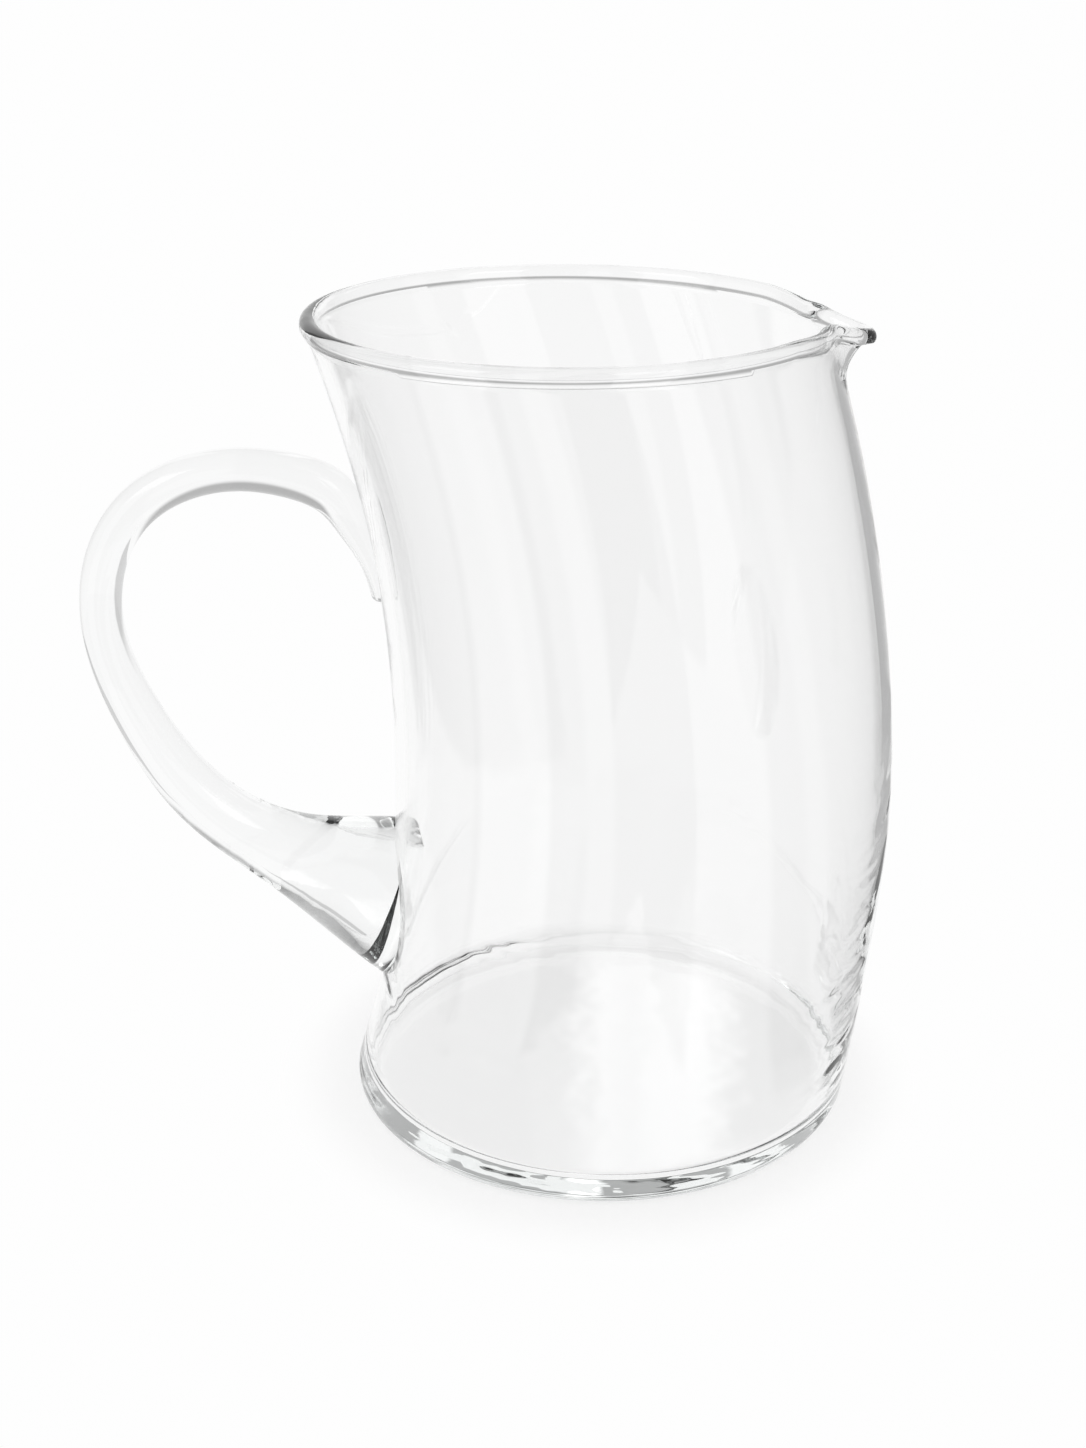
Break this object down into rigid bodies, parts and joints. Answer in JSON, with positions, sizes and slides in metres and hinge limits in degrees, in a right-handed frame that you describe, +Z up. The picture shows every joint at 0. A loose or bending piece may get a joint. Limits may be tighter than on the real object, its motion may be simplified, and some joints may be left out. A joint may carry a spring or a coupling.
{
  "type": "glass jug",
  "caption": "Clear hand-blown glass jug with a bent body, a rounded rim bead, a small pinched pouring lip and an applied loop handle.",
  "frame": {"origin": "centre of the flat underside, on the surface the jug stands on", "axes": "+Z up along the jug, +X from the handle toward the pouring lip, +Y across the jug"},
  "size_m": [0.2135, 0.1372, 0.2151],
  "materials": {
    "glass": "polished"
  },
  "bodies": {
    "root": {"jug": "glass"}
  },
  "joints": []
}
